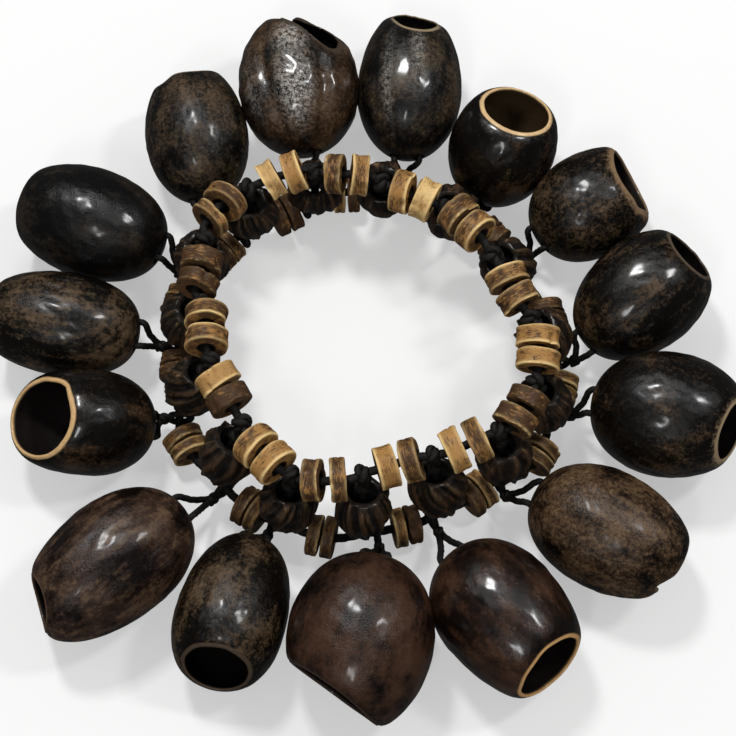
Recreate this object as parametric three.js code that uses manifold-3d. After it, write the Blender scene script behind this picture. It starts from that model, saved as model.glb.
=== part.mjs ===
// A shaker bracelet: hollow nut shells hung on cord loops round a flared band of beads.
// Millimetres, +Z up. The bracelet lies on a table with its nuts splayed out round the band.
import * as THREE from "three";
import { mergeVertices } from "three/addons/utils/BufferGeometryUtils.js";
import Module from "manifold-3d";

const wasm = await Module();
wasm.setup();

// Cords
const bandCordDiameter = 1.8;
const hangerCordDiameter = 1.6;
const cordClearance = 0.35; // left round a cord by whatever it passes through or round
const seatClearance = 0.3; // left between pieces that rest on each other

// Discs of the upper row, threaded in pairs on the upper cord
const upperDiscDiameter = 8.6;
const upperDiscThickness = 3.6;
const upperPairGap = 1.2; // between the two discs of a pair
const discBoreDiameter = 3.2;
const spacerDiameter = 5.2; // the wrapped spacer that keeps the two discs apart

// Discs of the lower row, threaded in pairs on the lower cord
const lowerDiscDiameter = 8.2;
const lowerDiscThickness = 2.4;
const lowerPairGap = 0.5;
const lowerSpacerDiameter = 4.4;

// The two rows: mean radii about the wrist opening, and how far the upper cord lies over the lower one
const upperRowRadius = 32.7;
const lowerRowRadius = 38.8;
const rowSpacing = 17.9;

// Barrel beads, which stand between the rows with a cord down their bore
const barrelBoreDiameter = 3.4;
const barrelMouthDiameter = 5.6; // the bore opens out to this at the top, round the knot
const barrelMouthDepth = 2.0;
const barrelTopDiameter = 8.8;
const barrelDrop = 0.9; // from the undersides of the discs beside it to a barrel's top
const barrelWaistDiameter = 11.6;
const barrelFootDiameter = 7.6;
const barrelShoulder = 0.23; // the waist begins at this share of a barrel's height, from its top
const barrelHip = 0.63; // and ends at this share
const fluteDepth = 0.5;
const fluteCount = 6;

// Knots
const upperKnotDiameter = 4.6;
const lowerKnotDiameter = 3.0;
const hangerKnotDiameter = 3.2;
const knotBite = 0.3; // how far a hanger's knot closes over its ring
const knotRoom = 1.1; // left between an upper knot's flattened side and the end of its bare stretch of cord

// Nut shells
const shellWall = 1.6;
const lipWall = 1.7; // the wall at the mouth, where the cut crosses it aslant
const eyeSpacing = 5.0; // between the two holes at a nut's stem end
const eyeDepth = 4.5; // how far a hanger's loop goes into the nut beyond its stem end

// A hanger's loop, as it goes into one eye and out of the other
const loopLead = 1.1; // it lines up with an eye this far outside the stem end
const loopEntry = 1.6; // and runs straight to here, past the wall
const loopBend = 0.9; // its turn inside begins this far short of its deepest place
const loopNarrowing = 0.8; // and there its two sides stand at this share of the eyes' spacing
const loopEndGap = 0.1; // between its two ends, both inside the knot

// Faces round each form
const discSides = 10;
const lowerDiscSides = 8;
const barrelSides = 2 * fluteCount;
const cordSides = 8;
const knotSides = 6;
const knotRings = 4;
const rowSteps = 45;
const hangerSteps = 9;
const shellSides = 14;
const liningSides = 10;
const eyeSides = 6;
const shellRings = 7;
const liningRings = 5;
const ringSides = 8; // of a hanger's ring, as seen along the lower cord

const weldDistance = 1e-4; // corners closer than this are one
const roundingMargin = 1e-3; // so that a corner on a limit counts as within it

// Each pair of discs: its azimuth, clockwise from the far side as seen from above, how much further out
// than its row's mean radius it sits in the upper and in the lower row, and how far the upper one is turned
// from the tangent.
const pairs = [
  { azimuth: 334, upperOut: 2.6, lowerOut: -3, turn: 6 },
  { azimuth: 355.5, upperOut: -0.6, lowerOut: -1.5, turn: 8 },
  { azimuth: 21.5, upperOut: -3.4, lowerOut: -1, turn: 0 },
  { azimuth: 45, upperOut: -2.7, lowerOut: -1, turn: 4 },
  { azimuth: 77, upperOut: -2, lowerOut: 0, turn: -12 },
  { azimuth: 100, upperOut: 2.4, lowerOut: 1.5, turn: -8 },
  { azimuth: 121, upperOut: 3.6, lowerOut: 2.2, turn: 1 },
  { azimuth: 142, upperOut: 0.2, lowerOut: -1.6, turn: 14 },
  { azimuth: 166, upperOut: -2.1, lowerOut: -1.6, turn: -3 },
  { azimuth: 191, upperOut: 1, lowerOut: 0.1, turn: -12 },
  { azimuth: 213, upperOut: 0.5, lowerOut: 0.2, turn: 14 },
  { azimuth: 241, upperOut: -2.7, lowerOut: 0.6, turn: 1 },
  { azimuth: 266.5, upperOut: -2.8, lowerOut: -2.2, turn: 2 },
  { azimuth: 288, upperOut: 0.5, lowerOut: -0.7, turn: -9 },
  { azimuth: 310.5, upperOut: 4.5, lowerOut: -1.8, turn: -3 },
];

// Each nut hangs at the station before the pair of the same number. standoff and side place its stem end:
// outwards from the side of the barrel there, but always clear of its own knot, and clockwise. yaw and pitch
// turn its axis from straight out and level. girth is how far its widest place lies from the stem end.
// mouthYaw and mouthPitch turn the cut from square to the axis.
const nuts = [
  { standoff: 2.9, side: -5, yaw: 29, pitch: 4,
    length: 28, width: 21.4, girth: 14, mouth: 12, mouthYaw: 0, mouthPitch: 4 },
  { standoff: 2.6, side: -0.1, yaw: 10, pitch: 6,
    length: 30.4, width: 25.2, girth: 15, mouth: 11, mouthYaw: 24, mouthPitch: 32 },
  { standoff: 2.8, side: 3.2, yaw: -6, pitch: 8,
    length: 31.6, width: 21.8, girth: 15, mouth: 12, mouthYaw: 0, mouthPitch: 18 },
  { standoff: 3.5, side: 1, yaw: -2, pitch: 46,
    length: 22.4, width: 22.3, girth: 13, mouth: 16, mouthYaw: 16, mouthPitch: 22 },
  { standoff: 3.2, side: -3.5, yaw: -3, pitch: 6,
    length: 23, width: 21.5, girth: 13, mouth: 15.5, mouthYaw: 10, mouthPitch: 4 },
  { standoff: 2.5, side: 0, yaw: -36, pitch: 12,
    length: 28, width: 22.6, girth: 16, mouth: 11.6, mouthYaw: 3, mouthPitch: 22 },
  { standoff: 2.6, side: -4.2, yaw: -8, pitch: 6,
    length: 28.5, width: 24.5, girth: 15, mouth: 12.5, mouthYaw: 14, mouthPitch: 12 },
  { standoff: 3.2, side: 1.9, yaw: -11, pitch: 2,
    length: 30, width: 23.1, girth: 15, mouth: 12, mouthYaw: 0, mouthPitch: -26 },
  { standoff: 7.4, side: 3.4, yaw: -11, pitch: 6,
    length: 29, width: 24.2, girth: 14, mouth: 16, mouthYaw: -4, mouthPitch: 6 },
  { standoff: 4.5, side: -2, yaw: 11, pitch: 0,
    length: 29, width: 27.6, girth: 16, mouth: 19, mouthYaw: 26, mouthPitch: -12 },
  { standoff: 2.1, side: 3.6, yaw: -8, pitch: 8,
    length: 28.8, width: 21.4, girth: 18, mouth: 13, mouthYaw: -4, mouthPitch: 17 },
  { standoff: 7.5, side: -2.3, yaw: 2, pitch: 2,
    length: 34, width: 23.2, girth: 16, mouth: 10.5, mouthYaw: 24, mouthPitch: 2 },
  { standoff: 3.5, side: -3.3, yaw: 10, pitch: 22,
    length: 24.4, width: 21.2, girth: 13, mouth: 16, mouthYaw: -6, mouthPitch: 30 },
  { standoff: 3.6, side: -3.6, yaw: 0, pitch: 2,
    length: 29, width: 21, girth: 15, mouth: 12, mouthYaw: 0, mouthPitch: -8 },
  { standoff: 2.5, side: -1, yaw: -9, pitch: 0,
    length: 29.6, width: 22.6, girth: 16, mouth: 12, mouthYaw: 0, mouthPitch: -6 },
];

const up = new THREE.Vector3(0, 0, 1);
const radians = THREE.MathUtils.degToRad;

// The point at an azimuth, a radius and a height.
function polar(azimuth, radius, height) {
  const turn = radians(azimuth);
  return new THREE.Vector3(radius * Math.sin(turn), radius * Math.cos(turn), height);
}

// A closed geometry as a solid that can be joined and cut.
function solidOf(geometry) {
  const bare = geometry.clone();
  bare.deleteAttribute("normal");
  bare.deleteAttribute("uv");
  const merged = mergeVertices(bare, weldDistance);
  const { array } = merged.index;
  const corners = [];
  for (let i = 0; i < array.length; i += 3) {
    const [a, b, c] = [array[i], array[i + 1], array[i + 2]];
    if (a !== b && b !== c && c !== a) corners.push(a, b, c);
  }
  return new wasm.Manifold(
    new wasm.Mesh({
      numProp: 3,
      vertProperties: new Float32Array(merged.attributes.position.array),
      triVerts: new Uint32Array(corners),
    }),
  );
}

// A solid as a geometry.
function geometryOf(solid) {
  const mesh = solid.getMesh();
  const geometry = new THREE.BufferGeometry();
  geometry.setAttribute("position", new THREE.BufferAttribute(mesh.vertProperties, 3));
  geometry.setIndex(new THREE.BufferAttribute(mesh.triVerts, 1));
  return geometry;
}

function joined(solids) {
  return solids.reduce((sum, solid) => sum.add(solid));
}

// The matrix that stands a form, made along Y, at a place with its Y axis along a direction.
function along(place, direction) {
  const y = direction.clone().normalize();
  const x = new THREE.Vector3().crossVectors(y, up).normalize();
  const z = new THREE.Vector3().crossVectors(x, y);
  return new THREE.Matrix4().makeBasis(x, y, z).setPosition(place);
}

// A form of revolution about Y from [radius, height] points, with a flat side, not an edge, underneath.
function revolved(points, sides) {
  const profile = points.map(([radius, height]) => new THREE.Vector2(radius, height));
  return new THREE.LatheGeometry(profile, sides).rotateY(Math.PI / sides);
}

// A cord that follows a curve.
function cordAlong(curve, diameter, steps) {
  const section = new THREE.Shape();
  for (let i = 0; i < cordSides; i++) {
    const turn = (2 * Math.PI * (i + 0.5)) / cordSides;
    const [x, y] = [(diameter / 2) * Math.cos(turn), (diameter / 2) * Math.sin(turn)];
    if (i === 0) section.moveTo(x, y);
    else section.lineTo(x, y);
  }
  section.closePath();
  return new THREE.ExtrudeGeometry(section, { steps, extrudePath: curve, bevelEnabled: false });
}

// A knot: a ball at a place, flattened along a direction to a half width.
function knotAt(place, direction, diameter, halfWidth) {
  const ball = new THREE.SphereGeometry(diameter / 2, knotSides, knotRings);
  ball.scale(1, (2 * halfWidth) / diameter, 1);
  return ball.applyMatrix4(along(place, direction));
}

// A bead's two discs as one profile, from one end face to the other, about the middle of the pair.
function pairProfile(diameter, thickness, gap, spacer, bore) {
  const end = thickness + gap / 2;
  return [
    [bore / 2, -end],
    [diameter / 2, -end],
    [diameter / 2, -gap / 2],
    [spacer / 2, 0],
    [diameter / 2, gap / 2],
    [diameter / 2, end],
    [bore / 2, end],
  ];
}

// Places along the two rows
const upperPairHalf = upperDiscThickness + upperPairGap / 2;
const lowerPairHalf = lowerDiscThickness + lowerPairGap / 2;
const lowerCordHeight = (lowerDiscDiameter / 2) * Math.cos(Math.PI / lowerDiscSides);
const upperCordHeight = lowerCordHeight + rowSpacing;

// Where a pair's middle lies and which way its axis points, in the upper or the lower row.
function pairSeat({ azimuth, upperOut, lowerOut, turn }, upper) {
  const radius = upper ? upperRowRadius + upperOut : lowerRowRadius + lowerOut;
  return {
    middle: polar(azimuth, radius, upper ? upperCordHeight : lowerCordHeight),
    axis: polar(azimuth + 90 + (upper ? turn : 0), 1, 0),
    half: upper ? upperPairHalf : lowerPairHalf,
  };
}

const rows = {
  upper: pairs.map((pair) => pairSeat(pair, true)),
  lower: pairs.map((pair) => pairSeat(pair, false)),
};

// A station is the bare stretch of cord between two pairs, where a knot, a barrel bead and a nut belong.
function stationOf(row, index) {
  const before = row[(index + row.length - 1) % row.length];
  const after = row[index];
  const start = before.middle.clone().addScaledVector(before.axis, before.half);
  const end = after.middle.clone().addScaledVector(after.axis, -after.half);
  return {
    point: start.clone().lerp(end, 0.5),
    direction: end.clone().sub(start).normalize(),
    halfGap: start.distanceTo(end) / 2,
  };
}

const stations = pairs.map((pair, index) => ({
  upper: stationOf(rows.upper, index),
  lower: stationOf(rows.lower, index),
}));

// The cord of a row runs through each pair and on to the next. Its ends meet in the first knot.
function rowCord(row, rowStations) {
  const points = [rowStations[0].point.clone()];
  row.forEach((seat, index) => {
    points.push(seat.middle.clone().addScaledVector(seat.axis, -seat.half));
    points.push(seat.middle.clone());
    points.push(seat.middle.clone().addScaledVector(seat.axis, seat.half));
    if (index + 1 < row.length) points.push(rowStations[index + 1].point.clone());
  });
  points.push(rowStations[0].point.clone().addScaledVector(rowStations[0].direction, -seatClearance));
  return new THREE.CatmullRomCurve3(points, false, "centripetal");
}

// A barrel bead stands on the line from a station of the upper row to the same one of the lower row.
function barrelSeat({ upper, lower }) {
  const axis = lower.point.clone().sub(upper.point);
  const length = axis.length();
  const top = upperDiscDiameter / 2 + barrelDrop;
  const foot = length - hangerRingOutside - seatClearance;
  return { upperPoint: upper.point, axis: axis.normalize(), top, foot };
}

// The ring of a hanger round the lower cord, as a polygon that keeps its clearance at its flats
const ringRadius =
  (bandCordDiameter / 2 + cordClearance + hangerCordDiameter / 2) / Math.cos(Math.PI / ringSides);
const hangerRingOutside = ringRadius + hangerCordDiameter / 2;

// How far a barrel's side stands out from the lower cord, taken at its waist's lower end.
function barrelProud(station, outwards) {
  const { upperPoint, axis, top, foot } = barrelSeat(station);
  const hip = upperPoint.clone().addScaledVector(axis, top + barrelHip * (foot - top));
  return hip.sub(station.lower.point).dot(outwards) + (barrelWaistDiameter / 2) * Math.abs(axis.z);
}

function barrelGeometry(seat, bored) {
  const { top, foot } = seat;
  const bore = barrelBoreDiameter / 2;
  const height = foot - top;
  const points = [
    [barrelMouthDiameter / 2, top],
    [barrelTopDiameter / 2, top],
    [barrelWaistDiameter / 2, top + barrelShoulder * height],
    [barrelWaistDiameter / 2, top + barrelHip * height],
    [barrelFootDiameter / 2, foot],
    [bored ? bore : 0, foot],
    [bored ? bore : 0, top + barrelMouthDepth],
  ];
  points.push(points[0]);
  const form = new THREE.LatheGeometry(
    points.map(([radius, height]) => new THREE.Vector2(radius, height)),
    barrelSides,
  );
  flute(form, fluteCount, fluteDepth, barrelMouthDiameter / 2 + roundingMargin);
  return form.applyMatrix4(along(seat.upperPoint, seat.axis));
}

// Ridges that run along Y: the radius beyond a limit rises and falls round the form.
function flute(form, count, depth, beyond) {
  const place = form.attributes.position;
  for (let i = 0; i < place.count; i++) {
    const [x, z] = [place.getX(i), place.getZ(i)];
    const radius = Math.hypot(x, z);
    if (radius <= beyond) continue;
    const ratio = 1 - (depth * (1 - Math.cos(count * Math.atan2(z, x)))) / 2 / radius;
    place.setX(i, x * ratio);
    place.setZ(i, z * ratio);
  }
}

// An egg about Y, widest at the girth: it reaches back by stem and, before the cut, forward by tip.
function egg(radius, girth, stem, tip, rings, sides) {
  const points = [];
  for (let i = 0; i <= rings; i++) {
    const turn = (Math.PI * i) / rings;
    const span = i < rings / 2 ? stem : tip;
    const onAxis = i === 0 || i === rings;
    points.push(new THREE.Vector2(onAxis ? 0 : radius * Math.sin(turn), girth - span * Math.cos(turn)));
  }
  return new THREE.LatheGeometry(points, sides);
}

// Where a nut lies: its stem end, the way it points, and the hinge line of its hanger on the lower cord.
function nutSeat(nut, station) {
  const { lower } = station;
  const outwards = lower.point.clone().setZ(0).normalize();
  const hingeAxis = lower.direction;
  const clockwise = new THREE.Vector3().crossVectors(outwards, up);
  const heading = outwards.clone().applyAxisAngle(up, -radians(nut.yaw));
  const sideways = new THREE.Vector3().crossVectors(heading, up);
  const axis = heading.clone().applyAxisAngle(sideways, radians(nut.pitch));
  const mouthAxis = heading
    .clone()
    .applyAxisAngle(up, -radians(nut.mouthYaw))
    .applyAxisAngle(sideways, radians(nut.pitch + nut.mouthPitch));
  const beyondKnot = ringRadius - knotBite + hangerKnotDiameter + seatClearance;
  const reach = Math.max(barrelProud(station, outwards) + nut.standoff, beyondKnot);
  const stem = lower.point.clone().addScaledVector(outwards, reach).addScaledVector(clockwise, nut.side);
  return { stem, axis, mouthAxis, hinge: lower.point, hingeAxis };
}

const mouthBlock = 80; // a block larger than any nut, whose face is the cut

// The two eye holes run side by side along the nut's axis, at these places across it.
const eyePlaces = [-eyeSpacing / 2, eyeSpacing / 2];

function nutSolids(nut, seat) {
  // the tip half of a form is as long as it must be to have the mouth's size where it is cut
  const beyondGirth = nut.length - nut.girth;
  const tipFor = (mouth, width) => beyondGirth / Math.sqrt(1 - (mouth / width) ** 2);
  const innerWidth = nut.width - 2 * shellWall;
  const innerTip = tipFor(nut.mouth - 2 * lipWall, innerWidth);
  const outerTip = tipFor(nut.mouth, nut.width);
  const outer = egg(nut.width / 2, nut.girth, nut.girth, outerTip, shellRings, shellSides);
  const inner = egg(innerWidth / 2, nut.girth, nut.girth - shellWall, innerTip, liningRings, liningSides);
  const block = new THREE.BoxGeometry(mouthBlock, mouthBlock, mouthBlock).translate(0, mouthBlock / 2, 0);
  const pose = along(new THREE.Vector3(), seat.axis);
  const cutPlace = seat.axis.clone().multiplyScalar(nut.length);
  let shell = solidOf(outer.applyMatrix4(pose))
    .subtract(solidOf(inner.applyMatrix4(pose)))
    .subtract(solidOf(block.applyMatrix4(along(cutPlace, seat.mouthAxis))));
  const drill = (hangerCordDiameter / 2 + cordClearance) / Math.cos(Math.PI / eyeSides);
  for (const across of eyePlaces) {
    const hole = new THREE.CylinderGeometry(drill, drill, 2 * eyeDepth, eyeSides);
    hole.translate(across, 0, 0);
    shell = shell.subtract(solidOf(hole.applyMatrix4(pose)));
  }
  const rise = -shell.boundingBox().min[2]; // the nut lies on the table
  return { shell, place: seat.stem.clone().setZ(rise), pose };
}

// A hanger: a ring round the lower cord, a knot, and a loop that goes into one eye and out of the other.
function hangerSolid(nut, seat, place, pose) {
  const besideKnot = lowerKnotDiameter / 2 + seatClearance + hangerCordDiameter / 2;
  const beside = Math.sign(nut.side || 1) * besideKnot;
  const centre = seat.hinge.clone().addScaledVector(seat.hingeAxis, beside);
  const ring = new THREE.TorusGeometry(ringRadius, hangerCordDiameter / 2, cordSides, ringSides);
  ring.rotateX(Math.PI / 2).applyMatrix4(along(centre, seat.hingeAxis));
  const toEye = (x, y) => new THREE.Vector3(x, y, 0).applyMatrix4(pose).add(place);
  const [left, right] = eyePlaces;
  const towards = new THREE.Vector3().crossVectors(up, seat.hingeAxis);
  const knot = centre.clone().addScaledVector(towards, ringRadius - knotBite + hangerKnotDiameter / 2);
  const route = new THREE.CatmullRomCurve3([
    knot.clone(),
    toEye(left, -loopLead),
    toEye(left, loopEntry),
    toEye(left * loopNarrowing, eyeDepth - loopBend),
    toEye(0, eyeDepth),
    toEye(right * loopNarrowing, eyeDepth - loopBend),
    toEye(right, loopEntry),
    toEye(right, -loopLead),
    knot.clone().addScaledVector(seat.hingeAxis, loopEndGap),
  ]);
  return joined([
    solidOf(ring),
    solidOf(knotAt(knot, seat.hingeAxis, hangerKnotDiameter, hangerKnotDiameter / 2)),
    solidOf(cordAlong(route, hangerCordDiameter, hangerSteps)),
  ]);
}

function colour(hex, roughness) {
  return new THREE.MeshStandardMaterial({ color: hex, roughness, metalness: 0 });
}

function addPiece(group, name, geometry, material) {
  const mesh = new THREE.Mesh(geometry, material);
  mesh.name = name;
  group.add(mesh);
  return mesh;
}

const bracelet = new THREE.Group();
bracelet.name = "shaker_bracelet";
const body = new THREE.Group();
bracelet.add(body);

const number = (index) => String(index + 1).padStart(2, "0");
const closingStation = 2; // the barrel here is packed solid with the cord's ends and is one with the cord

// The band: barrels, disc pairs and the cord that holds them all
const cordParts = [
  solidOf(cordAlong(rowCord(rows.upper, stations.map((s) => s.upper)), bandCordDiameter, rowSteps)),
  solidOf(cordAlong(rowCord(rows.lower, stations.map((s) => s.lower)), bandCordDiameter, rowSteps)),
];
stations.forEach(({ upper, lower }, index) => {
  const seat = barrelSeat({ upper, lower });
  if (index === closingStation) cordParts.push(solidOf(barrelGeometry(seat, false)));
  else addPiece(body, "barrel_bead_" + number(index), barrelGeometry(seat, true), colour(0x3b2a20, 0.75));
  const halfWidth = Math.min(upperKnotDiameter / 2, upper.halfGap - knotRoom);
  cordParts.push(solidOf(knotAt(upper.point, upper.direction, upperKnotDiameter, halfWidth)));
  cordParts.push(solidOf(knotAt(lower.point, lower.direction, lowerKnotDiameter, lowerKnotDiameter / 2)));
  const strand = new THREE.LineCurve3(upper.point, lower.point);
  cordParts.push(solidOf(cordAlong(strand, bandCordDiameter, 1)));
});
rows.upper.forEach((seat, index) => {
  const profile = pairProfile(
    upperDiscDiameter, upperDiscThickness, upperPairGap, spacerDiameter, discBoreDiameter,
  );
  profile.push(profile[0]);
  const pair = revolved(profile, discSides).applyMatrix4(along(seat.middle, seat.axis));
  addPiece(body, "disc_pair_" + number(index), pair, colour(0xb08a55, 0.7));
});
rows.lower.forEach((seat) => {
  const profile = pairProfile(lowerDiscDiameter, lowerDiscThickness, lowerPairGap, lowerSpacerDiameter, 0);
  cordParts.push(solidOf(revolved(profile, lowerDiscSides).applyMatrix4(along(seat.middle, seat.axis))));
});
addPiece(body, "band_cord", geometryOf(joined(cordParts)), colour(0x121010, 0.85));

// The nuts and their hangers
nuts.forEach((nut, index) => {
  const seat = nutSeat(nut, stations[index]);
  const { shell, place, pose } = nutSolids(nut, seat);
  const mesh = addPiece(body, "nut_shell_" + number(index), geometryOf(shell), colour(0x2a211c, 0.35));
  mesh.position.copy(place);
  const hanger = hangerSolid(nut, seat, place, pose);
  addPiece(body, "nut_hanger_" + number(index), geometryOf(hanger), colour(0x121010, 0.85));
});

// The frame's origin lies under the middle of the whole bracelet, on the table.
const extent = new THREE.Box3().setFromObject(bracelet);
const middle = extent.getCenter(new THREE.Vector3());
body.position.set(-middle.x, -middle.y, -extent.min.z);

export default bracelet;
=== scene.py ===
import bpy
import numpy as np
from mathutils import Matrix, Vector


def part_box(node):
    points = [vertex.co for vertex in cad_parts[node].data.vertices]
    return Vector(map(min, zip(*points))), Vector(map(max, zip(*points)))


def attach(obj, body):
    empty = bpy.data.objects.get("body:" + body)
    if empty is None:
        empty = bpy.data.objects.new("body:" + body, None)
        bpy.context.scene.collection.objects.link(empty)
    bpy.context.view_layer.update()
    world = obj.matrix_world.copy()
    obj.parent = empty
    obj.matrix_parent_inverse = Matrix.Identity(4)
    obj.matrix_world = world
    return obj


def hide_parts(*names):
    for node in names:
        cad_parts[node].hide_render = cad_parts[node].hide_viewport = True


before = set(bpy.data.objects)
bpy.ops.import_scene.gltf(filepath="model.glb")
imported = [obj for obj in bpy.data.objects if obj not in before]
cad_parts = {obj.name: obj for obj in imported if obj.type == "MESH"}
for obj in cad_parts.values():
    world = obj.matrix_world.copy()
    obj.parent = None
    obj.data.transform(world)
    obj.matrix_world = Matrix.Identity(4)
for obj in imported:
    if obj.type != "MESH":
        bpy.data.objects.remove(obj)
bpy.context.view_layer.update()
print("frame loaded", len(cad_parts), "nodes")

# Lengths in this file are millimetres, and become metres where a mesh is made.
metre = 0.001
up = np.array([0.0, 0.0, 1.0])

# The layout of the bracelet, as the frame has it
layout = dict(
    upperRowRadius=32.7, lowerRowRadius=38.8, rowSpacing=17.9,
    upperDisc=dict(diameter=8.6, thickness=3.6, gap=1.2, bore=3.2),
    lowerDisc=dict(diameter=8.2, thickness=2.4, gap=0.5, bore=2.2),
    lowerDiscSides=8, barrelDrop=0.9, tiedStation=2,  # the frame's barrel here is part of band_cord
    cord=1.8, hangerCord=1.6, clearance=0.35, seat=0.3, ringSides=8,
    upperKnot=4.6, lowerKnot=3.0, hangerKnot=3.2,
    shellWall=1.6, eyeSpacing=5.0, eyeDepth=4.5,
)

# Each pair of discs: its azimuth, how far out it lies in the upper row and in the lower row, and its turn
pairFields = ("azimuth", "upperOut", "lowerOut", "turn")
pairs = [dict(zip(pairFields, row)) for row in (
    (334, 2.6, -3, 6), (355.5, -0.6, -1.5, 8), (21.5, -3.4, -1, 0), (45, -2.7, -1, 4),
    (77, -2, 0, -12), (100, 2.4, 1.5, -8), (121, 3.6, 2.2, 1), (142, 0.2, -1.6, 14),
    (166, -2.1, -1.6, -3), (191, 1, 0.1, -12), (213, 0.5, 0.2, 14), (241, -2.7, 0.6, 1),
    (266.5, -2.8, -2.2, 2), (288, 0.5, -0.7, -9), (310.5, 4.5, -1.8, -3),
)]

# Each nut: the side of its hanger, the way it points, its sizes, and how its mouth is turned from it. The
# mouths of nuts 1 to 5 are turned a little further than in the frame, as in the photograph.
nutFields = ("side", "yaw", "pitch", "length", "width", "girth", "mouth", "mouthYaw", "mouthPitch")
nuts = [dict(zip(nutFields, row)) for row in (
    (-5, 29, 4, 28, 21.4, 14, 12, 0, 16),
    (-0.1, 10, 6, 30.4, 24.9, 15, 9, 26, 28),
    (3.2, -6, 8, 31.6, 21.8, 15, 9.5, 8, 34),
    (1, -2, 46, 22.4, 21.8, 13, 16, 0, 18),
    (-3.5, -3, 6, 23, 21.5, 13, 15.5, 10, 16),
    (0, -36, 12, 28, 22.6, 16, 11.6, 3, 22),
    (-4.2, -8, 6, 28.5, 24.5, 15, 12.5, 14, 12),
    (1.9, -11, 2, 30, 23.1, 15, 12, 0, -26),
    (3.4, -11, 6, 29, 24.2, 14, 16, -4, 6),
    (-2, 11, 0, 29, 27.6, 16, 19, 26, -12),
    (3.6, -8, 8, 28.8, 21.4, 18, 13, -4, 17),
    (-2.3, 2, 2, 34, 23.2, 16, 10.5, 24, 2),
    (-3.3, 10, 22, 24.4, 21.2, 13, 16, -6, 30),
    (-3.6, 0, 2, 29, 21, 15, 12, 0, -8),
    (-1, -9, 0, 29.6, 22.6, 16, 12, 0, -6),
)]


# A vector divided by its own length
def unit(v):
    return v / np.linalg.norm(v, axis=-1, keepdims=True)


# An angle less whole turns, between minus half a turn and plus half a turn
def wrapped(angle):
    return (angle + np.pi) % (2 * np.pi) - np.pi


# A bell curve: e to the power of minus the square
def bell(x):
    return np.exp(-(x**2))


# Angles evenly round a circle
def circle(count):
    return np.linspace(0, 2 * np.pi, count, endpoint=False)


# A point at an azimuth clockwise from the far side, a radius and a height
def polar(azimuth, radius, height):
    turn = np.radians(azimuth)
    return np.array([radius * np.sin(turn), radius * np.cos(turn), height])


# The three axes, as rows, of a form whose own Y axis points along a direction
def axesAlong(direction):
    y = unit(np.asarray(direction, float))
    x = unit(np.cross(y, up))
    return np.array([x, y, np.cross(x, y)])


# A vector turned about an axis: the part along the axis stays, and the rest turns in its plane.
def turned(v, axis, degrees):
    a = np.radians(degrees)
    return v * np.cos(a) + np.cross(axis, v) * np.sin(a) + axis * np.dot(axis, v) * (1 - np.cos(a))


lowerHeight = layout["lowerDisc"]["diameter"] / 2 * np.cos(np.pi / layout["lowerDiscSides"])
rowHeight = dict(upper=lowerHeight + layout["rowSpacing"], lower=lowerHeight)


# A pair's middle, its axis and half its length in the upper or the lower row
def pairSeat(pair, row):
    disc = layout[row + "Disc"]
    turn = pair["turn"] if row == "upper" else 0
    return dict(
        middle=polar(pair["azimuth"], layout[row + "RowRadius"] + pair[row + "Out"], rowHeight[row]),
        axis=polar(pair["azimuth"] + 90 + turn, 1, 0),
        half=disc["thickness"] + disc["gap"] / 2,
    )


# A station is the middle of the bare cord between two pairs.
def stationOf(row, index):
    before, after = row[index - 1], row[index]
    start = before["middle"] + before["axis"] * before["half"]
    end = after["middle"] - after["axis"] * after["half"]
    return dict(point=(start + end) / 2, direction=unit(end - start), halfGap=np.linalg.norm(end - start) / 2)


rows = {row: [pairSeat(pair, row) for pair in pairs] for row in ("upper", "lower")}
stations = {name: [stationOf(row, i) for i in range(len(pairs))] for name, row in rows.items()}

# The frame's own place: its first pair shows how far everything has to move.
low, high = (np.array(corner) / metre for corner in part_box("disc_pair_01"))
offset = ((low + high) / 2 - rows["upper"][0]["middle"]) * [1, 1, 0]
for name in rows:
    for seat in rows[name]:
        seat["middle"] = seat["middle"] + offset
    for station in stations[name]:
        station["radial"] = unit(station["point"] * [1, 1, 0])
        station["point"] = station["point"] + offset


# Puts points and faces in a mesh object, rides it on a body and gives it a material.
def makePiece(name, points, faces, material, body, attributes, replaces=()):
    mesh = bpy.data.meshes.new(name)
    mesh.from_pydata((points * metre).tolist(), [], faces)
    for key, values in attributes.items():
        values = np.asarray(values, np.float32)
        vector = values.ndim == 2
        layer = mesh.attributes.new(key, "FLOAT_VECTOR" if vector else "FLOAT", "POINT")
        layer.data.foreach_set("vector" if vector else "value", values.ravel())
    mesh.polygons.foreach_set("use_smooth", [True] * len(mesh.polygons))
    mesh.materials.append(material)
    piece = bpy.data.objects.new(name, mesh)
    bpy.context.scene.collection.objects.link(piece)
    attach(piece, body)
    if replaces:
        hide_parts(*replaces)


# Faces over rings of points: each ring joins the next, and the last the first or a pole at each end.
def skinFaces(rings, around, closed):
    index = np.arange(rings * around).reshape(rings, around)
    ring = index if closed else index[:-1]
    nextRing = np.roll(index, -1, 0) if closed else index[1:]
    corners = [ring, np.roll(ring, -1, 1), np.roll(nextRing, -1, 1), nextRing]
    quads = np.stack(corners, -1).reshape(-1, 4).tolist()
    if closed:
        return quads
    first, last = rings * around, rings * around + 1
    caps = np.stack([np.full(around, first), np.roll(index[0], -1), index[0]], -1).tolist()
    caps += np.stack([np.full(around, last), index[-1], np.roll(index[-1], -1)], -1).tolist()
    return quads + caps


# Smooth random values over angles: a sum of waves whose height falls with their number
def waves(random, angle, lowest, highest, other=0):
    total = np.zeros(np.broadcast(angle, other).shape)
    for k in range(lowest, highest + 1):
        height = random.normal() / k
        phase = random.uniform(0, 6.28)
        slant = random.normal() * 2
        total += height * np.cos(k * angle + phase + slant * other)
    return total


# Values spread over a grid of rings and angles, as one list
def overGrid(values, rings, around):
    return (values * np.ones((rings, around))).ravel()


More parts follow.
